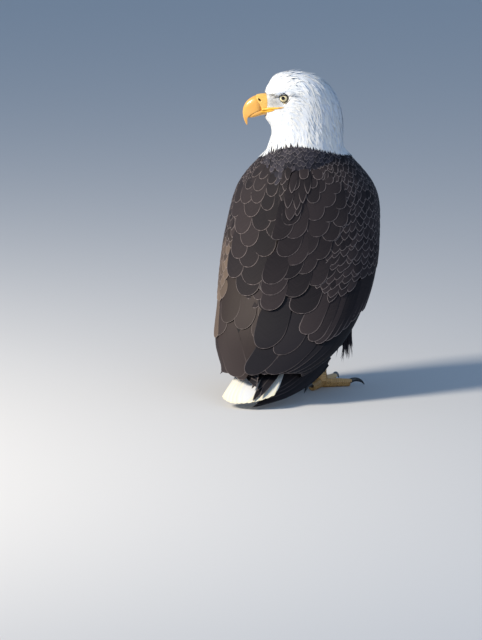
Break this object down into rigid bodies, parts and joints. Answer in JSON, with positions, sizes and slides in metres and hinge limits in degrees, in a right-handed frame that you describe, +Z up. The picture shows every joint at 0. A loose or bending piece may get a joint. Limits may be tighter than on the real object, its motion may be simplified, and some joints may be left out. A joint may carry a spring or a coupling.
{
  "type": "bald eagle",
  "caption": "Life-size bald eagle standing upright with folded wings, head turned over its left shoulder, tail tip resting on the floor.",
  "frame": {"origin": "on the floor, under the middle of the bounding box of the whole bird", "axes": "+Z up, the body faces -Y with the tail towards +Y, and +X is the bird's own left"},
  "size_m": [0.2972, 0.3968, 0.581],
  "materials": {
    "brown_feathers": "matt, soft",
    "flight_feathers": "satin",
    "white_feathers": "matt, soft",
    "bill": "waxy horn",
    "leg_skin": "scaly, satin",
    "claws": "polished horn",
    "eyes": "wet gloss"
  },
  "bodies": {
    "root": {"bill_lower": "bill", "bill_upper": "bill", "cere": "bill", "claw_hind_left": "claws", "claw_hind_right": "claws", "claw_inner_left": "claws", "claw_inner_right": "claws", "claw_middle_left": "claws", "claw_middle_right": "claws", "claw_outer_left": "claws", "claw_outer_right": "claws", "eye_left": "eyes", "eye_right": "eyes", "gape_left": "bill", "gape_right": "bill", "head": "white_feathers", "neck": "white_feathers", "primaries_left": "flight_feathers", "primaries_right": "flight_feathers", "secondaries_left": "flight_feathers", "secondaries_right": "flight_feathers", "tail": "white_feathers", "tail_coverts": "white_feathers", "tarsus_left": "leg_skin", "tarsus_right": "leg_skin", "thigh_left": "brown_feathers", "thigh_right": "brown_feathers", "toe_hind_left": "leg_skin", "toe_hind_right": "leg_skin", "toe_inner_left": "leg_skin", "toe_inner_right": "leg_skin", "toe_middle_left": "leg_skin", "toe_middle_right": "leg_skin", "toe_outer_left": "leg_skin", "toe_outer_right": "leg_skin", "trunk": "brown_feathers", "wing_left": "brown_feathers", "wing_right": "brown_feathers"}
  },
  "joints": []
}
